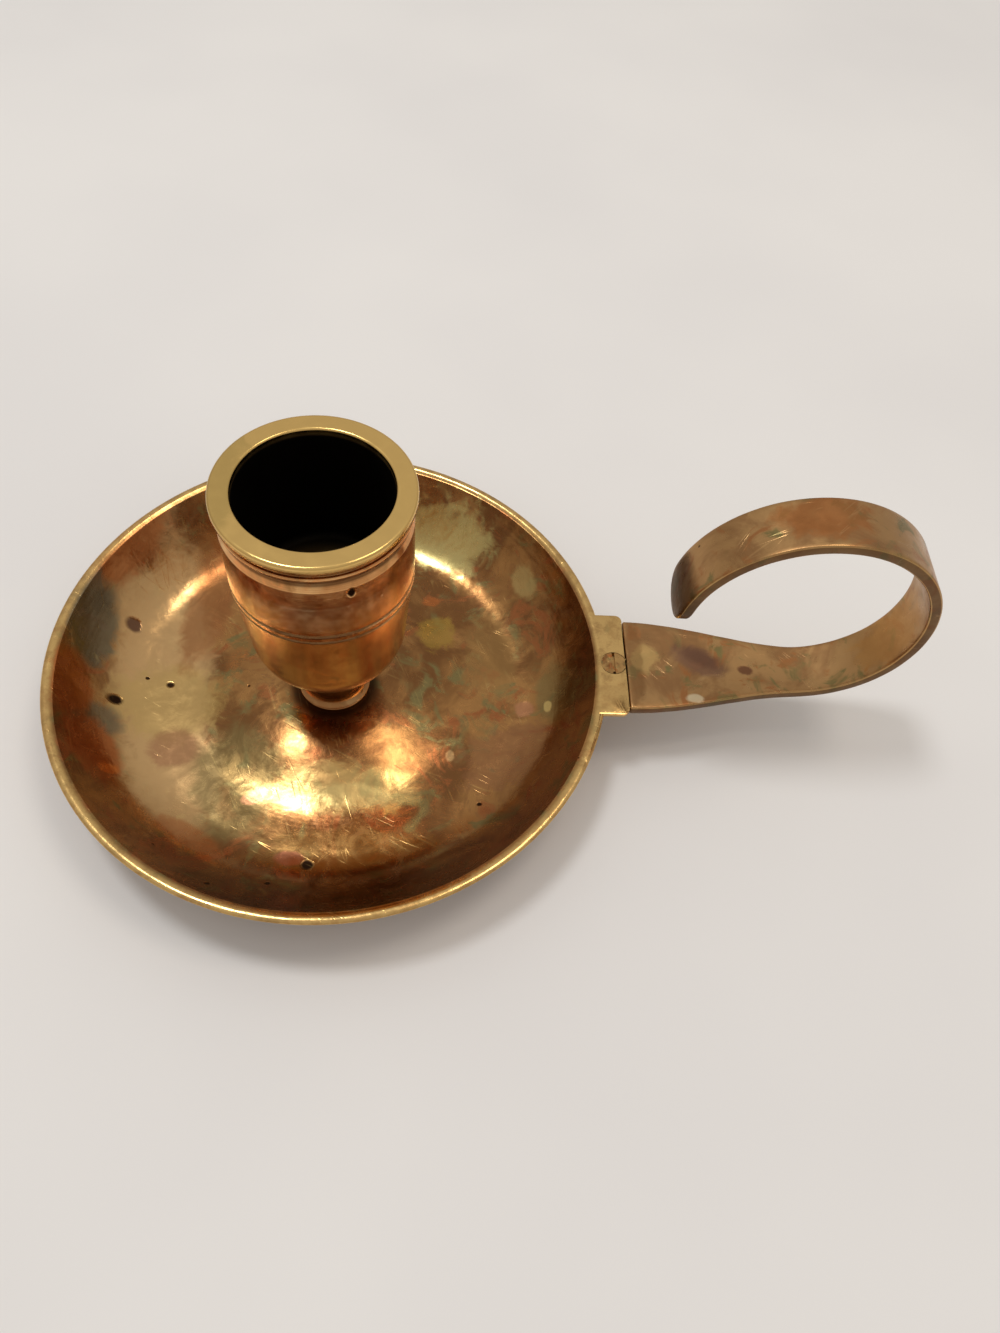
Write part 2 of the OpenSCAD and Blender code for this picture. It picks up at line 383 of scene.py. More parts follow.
def clouds_group():
    """Drifting tarnish: four tones that run into each other, with tide marks between them."""
    vector, value, colour = "NodeSocketVector", "NodeSocketFloat", "NodeSocketColor"
    inputs = {
        "Place": (vector, None),
        "Size": (value, 12),
        "Base": (colour, None),
        "Brown": (colour, None),
        "Copper": (colour, None),
        "Olive": (colour, None),
    }
    g, given = group("tarnish_clouds", inputs, {"Color": colour, "Marks": value})
    scale = g.math("DIVIDE", 1.0, given["Size"])
    broad = g.noise(given["Place"], scale, 4.0, 0.6, 1.2)
    shifted = g.vector("ADD", given["Place"], (37.0, -19.0, 11.0))
    second = g.noise(shifted, g.math("MULTIPLY", scale, 1.7), 5.0, 0.62, 1.8)
    shifted = g.vector("ADD", given["Place"], (-61.0, 23.0, 5.0))
    third = g.noise(shifted, g.math("MULTIPLY", scale, 2.6), 4.0, 0.6, 0.8)
    tone = g.blend(g.ramp(broad, 0.40, 0.60), given["Brown"], given["Base"])
    tone = g.blend(g.ramp(second, 0.54, 0.66), tone, given["Copper"])
    tone = g.blend(g.ramp(third, 0.55, 0.68), tone, given["Olive"])
    tide = g.math("ABSOLUTE", g.math("SUBTRACT", second, 0.56))
    g.add("NodeGroupOutput", {"Color": tone, "Marks": g.ramp(tide, 0.0, 0.018, 1.0, 0.0)})
    return g.tree


def scratches_group():
    """Fine broken lines in one main direction and a crossing one."""
    vector, value = "NodeSocketVector", "NodeSocketFloat"
    inputs = {"Place": (vector, None), "Turn": (value, 0), "Spacing": (value, 1.2), "Share": (value, 0.5)}
    g, given = group("fine_scratches", inputs, {"Mask": value, "Height": value})

    def lines(turn, offset):
        moved = g.vector("ADD", given["Place"], offset)
        turned_place = g.add(
            "ShaderNodeVectorRotate", {"Vector": moved, "Angle": turn}, rotation_type="Z_AXIS")
        long = g.vector("MULTIPLY", turned_place.outputs[0], (0.06, 1.0, 0.3))
        scale = g.math("DIVIDE", 1.0, given["Spacing"])
        cells = {"Vector": long, "Scale": scale, "Randomness": 1.0}
        edges = g.add("ShaderNodeTexVoronoi", cells, feature="DISTANCE_TO_EDGE").outputs["Distance"]
        broken = g.noise(moved, 0.22, 2.0)
        kept = g.ramp(broken, g.math("SUBTRACT", 0.75, g.math("MULTIPLY", given["Share"], 0.4)), 0.72)
        return g.math("MULTIPLY", g.ramp(edges, 0.0, 0.035, 1.0, 0.0), kept)

    first = lines(given["Turn"], (0.0, 0.0, 0.0))
    second = lines(g.math("ADD", given["Turn"], 0.7), (53.0, 31.0, 7.0))
    mask = g.math("MAXIMUM", first, second)
    g.add("NodeGroupOutput", {"Mask": mask, "Height": g.math("MULTIPLY", mask, -1.0)})
    return g.tree


def pits_group():
    """Small dark pits scattered over the metal."""
    vector, value = "NodeSocketVector", "NodeSocketFloat"
    inputs = {"Place": (vector, None), "Spacing": (value, 6), "Size": (value, 0.06), "Share": (value, 0.4)}
    g, given = group("pits", inputs, {"Mask": value, "Height": value})
    cells = {"Vector": given["Place"], "Scale": g.math("DIVIDE", 1.0, given["Spacing"])}
    voronoi = g.add("ShaderNodeTexVoronoi", cells, feature="F1").outputs
    draw = g.add("ShaderNodeSeparateColor", {"Color": voronoi["Color"]}).outputs
    size = g.math("MULTIPLY", given["Size"], g.math("ADD", draw["Green"], 0.4))
    inside = g.ramp(voronoi["Distance"], g.math("MULTIPLY", size, 0.5), size, 1.0, 0.0)
    mask = g.math("MULTIPLY", inside, g.math("LESS_THAN", draw["Red"], given["Share"]))
    g.add("NodeGroupOutput", {"Mask": mask, "Height": g.math("MULTIPLY", mask, -1.0)})
    return g.tree


def dents_group():
    """Slow hand-made waviness with finer unevenness on it."""
    vector, value = "NodeSocketVector", "NodeSocketFloat"
    inputs = {"Place": (vector, None), "Size": (value, 8), "Fine": (value, 0.3)}
    g, given = group("dents", inputs, {"Height": value})
    scale = g.math("DIVIDE", 1.0, given["Size"])
    slow = g.noise(given["Place"], scale, 2.0, 0.5, 0.4)
    quick = g.noise(given["Place"], g.math("MULTIPLY", scale, 6.0), 3.0, 0.6)
    g.add("NodeGroupOutput", {"Height": g.math("ADD", slow, g.math("MULTIPLY", quick, given["Fine"]))})
    return g.tree


LATHE = lathe_tree()
BEND = bend_tree()
PATCH = patch_group()
CLOUDS = clouds_group()
SCRATCHES = scratches_group()
PITS = pits_group()
DENTS = dents_group()


def srgb(red, green, blue):
    """A colour given as it shows on a screen, 0 to 255, as linear light."""
    def linear(v):
        v /= 255
        return v / 12.92 if v <= 0.04045 else ((v + 0.055) / 1.055) ** 2.4
    return (linear(red), linear(green), linear(blue), 1.0)


# Tones of the brass
BRASS = srgb(170, 124, 74)
BROWN = srgb(128, 88, 52)
DARK_BROWN = srgb(72, 44, 24)
COPPER = srgb(176, 104, 56)
ORANGE = srgb(214, 128, 62)
OLIVE = srgb(136, 120, 76)
CREAM = srgb(212, 172, 118)
STRAW = srgb(226, 196, 124)
GREY_GREEN = srgb(108, 102, 82)
PINK_TAN = srgb(186, 130, 92)
PURPLE_BROWN = srgb(98, 66, 52)
PIT_BLACK = srgb(44, 28, 18)


class Finish:
    """A material in the making: its colour, roughness and height are built up layer by layer."""

    def __init__(self, name, base, place=None):
        self.material = bpy.data.materials.new(name)
        self.material.use_nodes = True
        self.material.node_tree.nodes.clear()
        self.g = Graph(self.material.node_tree)
        seen = self.g.add("ShaderNodeTexCoord").outputs["Object"]
        scale = 1 / MM
        settings = {"Vector": seen, "Location": (-AXIS_X, 0, 0), "Scale": (scale, scale, scale)}
        self.place = self.g.add("ShaderNodeMapping", settings).outputs[0]
        if place:
            self.place = self.g.add("ShaderNodeAttribute", attribute_name=place).outputs["Vector"]
        self.colour = base
        self.rough = 0.3
        self.height = 0.0
        self.wobble = None

    def use(self, tree, **inputs):
        node = self.g.add("ShaderNodeGroup", node_tree=tree)
        for name, value in {"Place": self.place, **inputs}.items():
            self.g.feed(node.inputs[name], value)
        return node.outputs

    def paint(self, mask, tone, rough=None):
        self.colour = self.g.blend(mask, self.colour, tone)
        if rough is not None:
            self.rough = self.g.math("ADD", self.rough, self.g.math("MULTIPLY", mask, rough))

    def raise_by(self, height, amount):
        self.height = self.g.math("ADD", self.height, self.g.math("MULTIPLY", height, amount))

    def patch(self, centre, reach, tone, turn=0, edge=0.25, strength=1.0, wobble=0.5, rough=None, height=0):
        """Paints one patch; centre and reach are in millimetres, and a missing height reach is very long."""
        centre = (*centre, 0)[:3]
        reach = (*reach, 1000)[:3]
        if self.wobble is None:
            ripple = self.g.noise(self.place, 0.35, 4.0, 0.6, 0.6)
            self.wobble = self.g.math("SUBTRACT", ripple, 0.5)
        pushed = self.g.math("MULTIPLY", self.wobble, wobble * 2)
        values = {"Centre": centre, "Reach": reach, "Turn": radians(turn), "Wobble": pushed}
        mask = self.use(PATCH, **values, Edge=edge, Strength=strength)["Mask"]
        self.paint(mask, tone, rough)
        if height:
            self.raise_by(mask, height)
        return mask

    def done(self, metallic=1.0, bump=1.0, **plain):
        g = self.g
        normal = g.add(
            "ShaderNodeBump", {"Height": self.height, "Strength": bump, "Distance": 0.1 * MM}).outputs[0]
        bsdf = g.add(
            "ShaderNodeBsdfPrincipled", {"Base Color": self.colour, "Normal": normal, "Metallic": metallic})
        rough = self.g.math("ADD", self.rough, 0.0, clamp=True)
        g.feed(bsdf.inputs["Roughness"], rough)
        for name, value in plain.items():
            bsdf.inputs[name.replace("_", " ")].default_value = value
        g.add("ShaderNodeOutputMaterial", {"Surface": bsdf.outputs[0]})
        return self.material


def pan_finish():
    f = Finish("pan_brass", BRASS)
    g = f.g
    clouds = f.use(CLOUDS, Size=16.0, Base=BRASS, Brown=BROWN, Copper=srgb(160, 100, 60), Olive=OLIVE)
    f.colour = clouds["Color"]
    f.paint(g.math("MULTIPLY", clouds["Marks"], 0.25), PURPLE_BROWN)
    swirl = g.noise(f.place, 0.16, 5.0, 0.7, 2.5)
    f.rough = g.ramp(swirl, 0.3, 0.7, 0.17, 0.31)
    parts = g.add("ShaderNodeSeparateXYZ", {"Vector": f.place}).outputs
    flat = g.add("ShaderNodeCombineXYZ", {"X": parts["X"], "Y": parts["Y"]}).outputs[0]
    radius = g.vector("LENGTH", flat)

    # Painted reflection of a bright window: the pale cream side, made a little smoother, and the copper and
    # grey tarnish patches beside it
    f.patch((-30, 4), (8, 27), CREAM, turn=8, strength=0.85, wobble=0.35, rough=-0.06)
    f.patch((-25, -17), (7, 12), CREAM, turn=15, strength=0.7, wobble=0.4)
    f.patch((-28, -3), (9, 7), srgb(196, 164, 96), strength=0.5, wobble=0.6)
    f.patch((-38, 22), (3, 10), COPPER, turn=-32, strength=0.8)
    f.patch((-24, 18), (4, 13), srgb(160, 104, 62), turn=-8, strength=0.7)
    f.patch((-41, 8), (3, 8), GREY_GREEN, strength=0.8)
    f.patch((-38, -9), (3.5, 3), GREY_GREEN, strength=0.7)
    f.patch((-42, -5), (2.6, 6), COPPER, turn=8, strength=0.9)
    f.patch((-37, -15), (3, 6), COPPER, turn=28, strength=0.9)
    f.patch((-34.5, -18), (1.3, 1.1), ORANGE, strength=0.9)
    f.patch((-26, -12), (4, 3.5), srgb(170, 116, 84), strength=0.6)
    f.patch((-21, -28), (6, 2), COPPER, turn=-28, strength=0.6)
    f.patch((-15, -18), (7, 10), OLIVE, strength=0.6)
    # Painted highlight: the lamp's glow on a polished zone in front of the socket, made paler and a little
    # smoother
    f.patch((2, -19), (12, 4), STRAW, strength=0.45, wobble=0.7, rough=-0.06)
    f.patch((4, -20), (6, 2), srgb(240, 214, 140), strength=0.4, wobble=0.6)
    f.patch((5, -30), (14, 4), srgb(150, 116, 66), strength=0.6, wobble=0.7)
    # Yellow and pale patches on the handle's side
    f.patch((18, 33), (9, 5), srgb(206, 190, 124), turn=-25, strength=0.75, wobble=0.7)
    f.patch((17, 13), (3, 4), srgb(176, 142, 66), strength=0.6, wobble=0.8)
    f.patch((33, 22), (1.6, 3.2), srgb(190, 162, 104), turn=25, strength=0.7)
    f.patch((27, 8), (5, 9), srgb(168, 130, 78), strength=0.5, wobble=0.8)
    f.patch((38, -1), (3, 6), OLIVE, strength=0.6)
    f.patch((30, -12), (8, 6), srgb(150, 104, 70), turn=30, strength=0.6, wobble=0.8)
    f.patch((33, -2.5), (1.8, 1.6), PINK_TAN, strength=0.8, height=-0.3)
    f.patch((36.8, -3), (0.6, 1.1), STRAW, strength=0.7)
    f.patch((16, 20.5), (1.6, 1.2), COPPER, strength=0.8)
    f.patch((20, -12), (0.7, 1), CREAM, strength=0.6)
    # Spots and pits
    f.patch((-12.3, -21), (1.4, 0.9), PINK_TAN, strength=0.8)
    f.patch((-5, -31), (2.2, 1.2), srgb(176, 112, 84), strength=0.8)
    f.patch((6, -34.5), (2, 1.8), srgb(152, 112, 74), strength=0.7)
    f.patch((11.5, -33.5), (1.4, 1.4), srgb(152, 112, 74), strength=0.7)
    f.patch((-36, 11), (1.2, 1.3), PURPLE_BROWN, strength=0.9, height=-0.8)
    for x, y, size in ((-28.5, 0.5, 0.7), (-36.5, -4, 1), (-2, -32, 0.9), (-7.5, -36, 0.4), (-15.5, -38, 0.4),
                       (25, -21, 0.4), (-32.5, 1.6, 0.35)):
        f.patch((x, y), (size, size * 0.8), PIT_BLACK, edge=0.35, wobble=0.6, rough=0.3, height=-1.2)
    # Painted dark reflection on the steep inner wall, on the near side only, darker towards the bench than at
    # the top
    wall = g.math("MULTIPLY", g.ramp(radius, 31.0, 39.0), g.ramp(radius, 42.2, 44.4, 1.0, 0.0))
    front = g.ramp(parts["Y"], -34.0, -8.0, 0.25, 0.0)
    reflection_breakup = g.noise(g.vector("MULTIPLY", f.place, (0.35, 0.35, 0.12)), 1.0, 4.0, 0.65)
    f.paint(
        g.math("MULTIPLY", g.math("MULTIPLY", wall, front), g.ramp(reflection_breakup, 0.3, 0.6, 0.55, 1.0)), DARK_BROWN)
    # Rubbed rim
    rim = g.ramp(radius, 43.9, 44.6)
    grime = g.noise(f.place, 0.5, 5.0, 0.7)
    f.paint(g.math("MULTIPLY", rim, g.ramp(grime, 0.35, 0.6, 0.55, 1.0)), srgb(214, 176, 112), rough=-0.03)
    # Painted contact shade where the socket stands
    f.paint(g.ramp(radius, 6.4, 8.6, 0.9, 0.0), PIT_BLACK, rough=0.15)

    scratches = f.use(SCRATCHES, Turn=0.5, Spacing=1.6, Share=0.55)
    f.paint(g.math("MULTIPLY", scratches["Mask"], 0.2), STRAW)
    f.raise_by(scratches["Height"], 0.12)
    pits = f.use(PITS, Spacing=5.0, Size=0.05, Share=0.4)
    f.paint(g.math("MULTIPLY", pits["Mask"], 0.85), PIT_BLACK, rough=0.3)
    f.raise_by(pits["Height"], 0.7)
    f.raise_by(f.use(DENTS, Size=7.0, Fine=0.12)["Height"], 1.6)
    return f.done()


def socket_finish():
    f = Finish("socket_brass", COPPER)
    g = f.g
    tones = {"Base": srgb(234, 182, 122), "Brown": srgb(208, 148, 92), "Copper": srgb(232, 160, 98)}
    clouds = f.use(CLOUDS, Size=11.0, **tones, Olive=srgb(186, 136, 84))
    f.colour = clouds["Color"]
    parts = g.add("ShaderNodeSeparateXYZ", {"Vector": f.place}).outputs
    height = parts["Z"]
    radius = g.vector("LENGTH", g.add("ShaderNodeCombineXYZ", {"X": parts["X"], "Y": parts["Y"]}).outputs[0])
    f.rough = g.ramp(g.noise(f.place, 0.4, 4.0, 0.6), 0.3, 0.7, 0.16, 0.27)
    # Flat ring round the mouth
    top = g.ramp(height, MOUTH_Z - 1.7, MOUTH_Z - 0.6)
    f.paint(top, srgb(222, 184, 112))
    f.patch((-12.5, 1), (3, 9), srgb(170, 146, 84), strength=0.35, wobble=0.9)
    # Dark line in each groove
    for low, high in ((50.1, 51.4), (47.9, 49.6), (36.7, 37.7), (35.5, 36.3)):
        middle = (low + high) / 2
        off = g.math("ABSOLUTE", g.math("SUBTRACT", height, middle))
        line = g.ramp(off, (high - low) * 0.3, (high - low) * 0.55, 0.75, 0.0)
        f.paint(g.math("MULTIPLY", line, g.math("GREATER_THAN", radius, 11.8)), DARK_BROWN, rough=0.12)
    # Painted reflection: a pale cream band across the front of the socket, with ragged ends
    reflection_band = g.math("MULTIPLY", g.ramp(height, 38.0, 38.6), g.ramp(height, 43.4, 44.2, 1.0, 0.0))
    sides = f.use(PATCH, Centre=(0, -14, 41), Reach=(13, 8, 60), Edge=0.2, Strength=1.0)["Mask"]
    f.paint(g.math("MULTIPLY", g.math("MULTIPLY", reflection_band, sides), 0.7), srgb(246, 218, 172))
    # Near-black paint inside the bore
    inside = g.math("MULTIPLY", g.ramp(radius, 11.1, 11.4, 1.0, 0.0), g.ramp(height, 51.4, 52.5, 1.0, 0.0))
    inside = g.math("MULTIPLY", inside, g.math("GREATER_THAN", height, 30.0))
    f.paint(inside, srgb(24, 20, 15), rough=0.4)
    floor = g.math("MULTIPLY", g.ramp(radius, 6.0, 10.5, 1.0, 0.0), g.ramp(height, 30.9, 31.6, 1.0, 0.0))
    floor = g.math("MULTIPLY", floor, g.math("GREATER_THAN", height, 30.6))
    f.paint(floor, srgb(92, 74, 44))
    # Painted shade on the stem under the bowl
    f.paint(g.ramp(height, 13.4, 16.0, 0.55, 0.0), DARK_BROWN)
    f.patch((5.6, -12.4, 46.3), (0.6, 0.6, 0.9), PIT_BLACK, wobble=0.4, height=-1.5)
    rings = g.noise(g.vector("MULTIPLY", f.place, (0.02, 0.02, 5.0)), 1.0, 2.0, 0.6)
    f.raise_by(rings, 0.12)
    f.raise_by(f.use(DENTS, Size=5.0, Fine=0.15)["Height"], 0.5)
    pits = f.use(PITS, Spacing=3.0, Size=0.05, Share=0.3)
    f.paint(g.math("MULTIPLY", pits["Mask"], 0.6), DARK_BROWN, rough=0.2)
    return f.done()


def handle_finish():
    """Dull brown strip; its place is the distance along it, across it and off it."""
    f = Finish("handle_brass", BROWN, place="strip_place")
    g = f.g
    tones = {"Base": srgb(180, 140, 92), "Brown": srgb(154, 114, 74), "Copper": srgb(166, 114, 70)}
    clouds = f.use(CLOUDS, Size=13.0, **tones, Olive=OLIVE)
    f.colour = clouds["Color"]
    f.rough = g.ramp(g.noise(f.place, 0.3, 4.0, 0.6), 0.3, 0.7, 0.26, 0.42)
    parts = g.add("ShaderNodeSeparateXYZ", {"Vector": f.place}).outputs
    f.patch((12.5, 0.8), (4.6, 2.4), srgb(132, 98, 78), turn=-28, strength=0.75, edge=0.3)
    f.patch((13.2, 1.6), (4.2, 1.6), srgb(96, 66, 54), turn=-28, strength=0.55, edge=0.5)
    f.patch((20.3, -0.6), (1.2, 0.9), srgb(112, 72, 52), strength=0.85, height=-0.3)
    f.patch((3.3, 1.0), (2.2, 2.6), srgb(200, 164, 104), strength=0.75, wobble=0.8)
    f.patch((11, -6.5), (1.4, 0.8), srgb(226, 208, 170), strength=0.8)
    f.patch((84, 1.2), (6, 4), srgb(166, 104, 56), strength=0.7, wobble=0.7)
    f.patch((47, 0), (8, 4), srgb(186, 136, 76), strength=0.6, wobble=0.7)
    f.patch((109, 0), (5.5, 9), srgb(84, 62, 40), edge=0.25, strength=0.7, wobble=0.3)
    f.patch((1.2, 0), (1.5, 9), srgb(124, 88, 52), strength=0.45, wobble=0.9)
    # Painted shade: the side faces are darker than the broad ones
    side = g.ramp(g.add("ShaderNodeAttribute", attribute_name="side").outputs["Fac"], 0.2, 0.9)
    f.paint(g.math("MULTIPLY", side, 0.7), srgb(74, 52, 34), rough=0.05)
    edge = g.ramp(g.add("ShaderNodeAttribute", attribute_name="edge").outputs["Fac"], 0.25, 0.9)
    f.paint(g.math("MULTIPLY", edge, 0.5), srgb(196, 160, 104), rough=-0.1)
    scratches = f.use(SCRATCHES, Turn=0.1, Spacing=1.4, Share=0.4)
    f.paint(g.math("MULTIPLY", scratches["Mask"], 0.2), CREAM)
    f.raise_by(scratches["Height"], 0.2)
    pits = f.use(PITS, Spacing=4.0, Size=0.05, Share=0.45)
    f.paint(g.math("MULTIPLY", pits["Mask"], 0.7), PIT_BLACK, rough=0.2)
    f.raise_by(pits["Height"], 0.6)
    f.raise_by(f.use(DENTS, Size=6.0, Fine=0.2)["Height"], 1.0)
    return f.done()


def fixing_finish():
    f = Finish("fixing_brass", BRASS)
    g = f.g
    clouds = f.use(CLOUDS, Size=4.0, Base=srgb(176, 138, 86), Brown=BROWN, Copper=COPPER, Olive=OLIVE)
    f.colour = clouds["Color"]
    f.rough = g.ramp(g.noise(f.place, 1.2, 4.0, 0.6), 0.3, 0.7, 0.25, 0.42)
    scratches = f.use(SCRATCHES, Turn=0.9, Spacing=0.5, Share=0.6)
    f.paint(g.math("MULTIPLY", scratches["Mask"], 0.3), CREAM)
    f.raise_by(scratches["Height"], 0.2)
    f.raise_by(f.use(DENTS, Size=2.5, Fine=0.3)["Height"], 0.4)
    return f.done()


PAN_BRASS = pan_finish()
SOCKET_BRASS = socket_finish()
HANDLE_BRASS = handle_finish()
FIXING_BRASS = fixing_finish()


# Pan
def dome_z(r):
    return DOME_H * fall((r - SEAT_R) / (FOOT_IN_R - SEAT_R))


def wall_z(r):
    return (RIM_Z - SHEET) * max(0, (r - FOOT_OUT_R) / (WALL_IN_R - FOOT_OUT_R)) ** WALL_POWER


def face_z(r):
    return SHEET + dome_z(r) + wall_z(r)


def under_point(r, step=0.01):
    slope = atan((face_z(r + step) - face_z(r - step)) / (2 * step))
    return Vector((r + SHEET * sin(slope), face_z(r) - SHEET * cos(slope)))


def pan_profile(steps=26):
    radii = [SEAT_R + (FOOT_IN_R - SEAT_R) * i / steps for i in range(steps + 1)]
    radii += [FOOT_OUT_R + (WALL_IN_R - 0.25 - FOOT_OUT_R) * i / steps for i in range(steps + 1)]
    upper = [Vector((0, SEAT_Z)), Vector((SEAT_R / 2, SEAT_Z))] + [Vector((r, face_z(r))) for r in radii]
    crown = [(WALL_IN_R, RIM_Z - 0.42), (WALL_IN_R + 0.25, RIM_Z - 0.14), (CROWN_R, RIM_Z),
             (PAN_R - 0.35, RIM_Z - 0.08), (PAN_R - 0.12, RIM_Z - 0.2), (PAN_R, RIM_Z - 0.42)]
    under = [under_point(r) for r in reversed(radii)]
    return upper + [Vector(p) for p in crown] + under + [
        Vector((SEAT_R / 2, SEAT_Z - SHEET)), Vector((0, SEAT_Z - SHEET))]


def plate_between(bm, outline, hole, top, bottom):
    """Adds a flat plate with one hole, closed all round, from its outline and the hole's outline."""
    edges = []
    for loop in (outline, hole):
        verts = [bm.verts.new((p[0], p[1], top)) for p in loop]
        edges += [bm.edges.new((a, b)) for a, b in zip(verts, verts[1:] + verts[:1])]
    filled = bmesh.ops.triangle_fill(bm, use_beauty=True, edges=edges, normal=(0, 0, 1))
    faces = [f for f in filled["geom"] if isinstance(f, bmesh.types.BMFace)]
    grown_faces = bmesh.ops.extrude_face_region(bm, geom=faces, use_keep_orig=True)["geom"]
    moved = [v for v in grown_faces if isinstance(v, bmesh.types.BMVert)]
    bmesh.ops.translate(bm, verts=moved, vec=(0, 0, bottom - top))


def ear(bm):
    """The pan's ear: flush with the crown of the rim, with rounded outer corners and the screw's hole."""
    half = EAR_W / 2
    reach = asin(half / CROWN_R) * 180 / pi
    outline = arc((0, 0), CROWN_R, reach, -reach, 2)
    outline += arc((EAR_END - EAR_CORNER, -half + EAR_CORNER), EAR_CORNER, -90, 0, 15)
    outline += arc((EAR_END - EAR_CORNER, half - EAR_CORNER), EAR_CORNER, 0, 90, 15)
    hole = arc((SCREW_X, 0), SCREW_HEAD_R, 0, 360 - 12, 12)
    own = bmesh.new()
    plate_between(own, outline, hole, RIM_Z, RIM_Z - EAR_T)
    bmesh.ops.recalc_face_normals(own, faces=own.faces)
    rims = [e for e in own.edges if len(e.link_faces) == 2 and e.calc_face_angle() > radians(60)
            and max(v.co.to_2d().length for v in e.verts) > CROWN_R + 0.3
            and max((v.co.to_2d() - Vector((SCREW_X, 0))).length for v in e.verts) > SCREW_HEAD_R + 0.1]
    bmesh.ops.bevel(own, geom=rims, offset=0.18, segments=2, profile=0.6, affect="EDGES")
    bmesh.ops.scale(own, verts=own.verts, vec=(MM, MM, MM))
    bmesh.ops.translate(own, verts=own.verts, vec=(AXIS_X * MM, 0, 0))
    mesh = bpy.data.meshes.new("ear")
    own.to_mesh(mesh)
    own.free()
    bm.from_mesh(mesh)


def make_pan():
    obj = turned("drip_pan_worn", supported(pan_profile()), PAN_BRASS, sides=256)

    def wave(bm):
        for v in bm.verts:
            place = Vector((v.co.x / MM - AXIS_X, v.co.y / MM, v.co.z / MM))
            r = hypot(place.x, place.y)
            free = smooth_step(10, 16, r) * (1 - smooth_step(40, 43.5, r)) * (r < 42)
            if place.z > 1.2 or r < 24:
                v.co.z += free * 0.13 * MM * noise.noise(place * 0.11)
        ear(bm)

    reworked(obj, wave)
    return finished(obj, "drip_pan")


# Socket
def socket_profile():
    groove_top = MOUTH_Z - 1.4
    bead_top = groove_top - 1.2
    neck_top = bead_top - 0.6
    band_top = neck_top - 2.4
    band_low = band_top - 9.6
    body_r, groove_r, neck_r, bead_r = LIP_R - 0.5, LIP_R - 0.9, LIP_R - 1.05, LIP_R - 0.35
    bowl_round_r, bowl_low_r, stem_r, under_z = 8.5, LIP_R - 1.8, 4.8, 14.8
    start = -acos((stem_r - bowl_low_r + bowl_round_r) / bowl_round_r) * 180 / pi
    bore_r, bore_floor = 11, MOUTH_Z - 22
    foot = rounded([(0, SEAT_Z), (6, SEAT_Z), (6, SEAT_Z + 0.8, 0.2), (5.8, SEAT_Z + 0.8)])
    stem = arc((stem_r + 1.6, SEAT_Z + 2.4), 1.6, 230, 180, 6)
    bowl = arc((bowl_low_r - bowl_round_r, under_z + bowl_round_r), bowl_round_r, start, 0, 4)

    def groove(low, high):
        return arc((body_r, (low + high) / 2), (high - low) / 2, -90, -270, 20)

    twin = band_low - 0.8
    wall = [Vector((body_r - 0.2, twin - 1.3))] + groove(twin - 1.2, twin - 0.6) + groove(twin, band_low)
    upper = rounded([
        (body_r, band_low + 0.01), (body_r, band_top, 0.25), ((body_r + neck_r) / 2, band_top + 0.6, 0.8),
        (neck_r, band_top + 1.2, 0.5), (neck_r, neck_top, 0.1), (bead_r, neck_top, 0.28),
        (bead_r, bead_top, 0.28),
        (groove_r, bead_top, 0.12), (groove_r, groove_top, 0.12), (LIP_R, groove_top, 0.25),
        (LIP_R, MOUTH_Z, 0.45),
        (bore_r, MOUTH_Z, 0.35), (bore_r, bore_floor, 1.2), (0, bore_floor)])
    return foot + stem + supported(bowl + wall) + upper


def make_socket():
    obj = turned("candle_socket_turned", socket_profile(), SOCKET_BRASS)
    return finished(obj, "candle_socket", sharp=50)


# Handle
def path_points():
    """The strip's inner face from the seam to its free end, as (x, z)."""
    low_end = LOW_TURN - 90
    main_end = low_end + MAIN_TURN
    low = Vector((BEND_START, RIM_Z + LOW_R))
    main = low - (LOOP_R - LOW_R) * toward(low_end)
    end = main + (LOOP_R - END_R) * toward(main_end)
    points = [Vector((STRIP_START, RIM_Z))] + arc(low, LOW_R, -90, low_end, 1)
    points += arc(main, LOOP_R, low_end, main_end, 1)[1:]
    return points + arc(end, END_R, main_end, main_end + END_TURN, 1)[1:]


def half_width(s):
    x = STRIP_START + s
    return (LOOP_W + (ROOT_W - LOOP_W) * fall((x - STRIP_START) / (TAPER_END - STRIP_START))) / 2


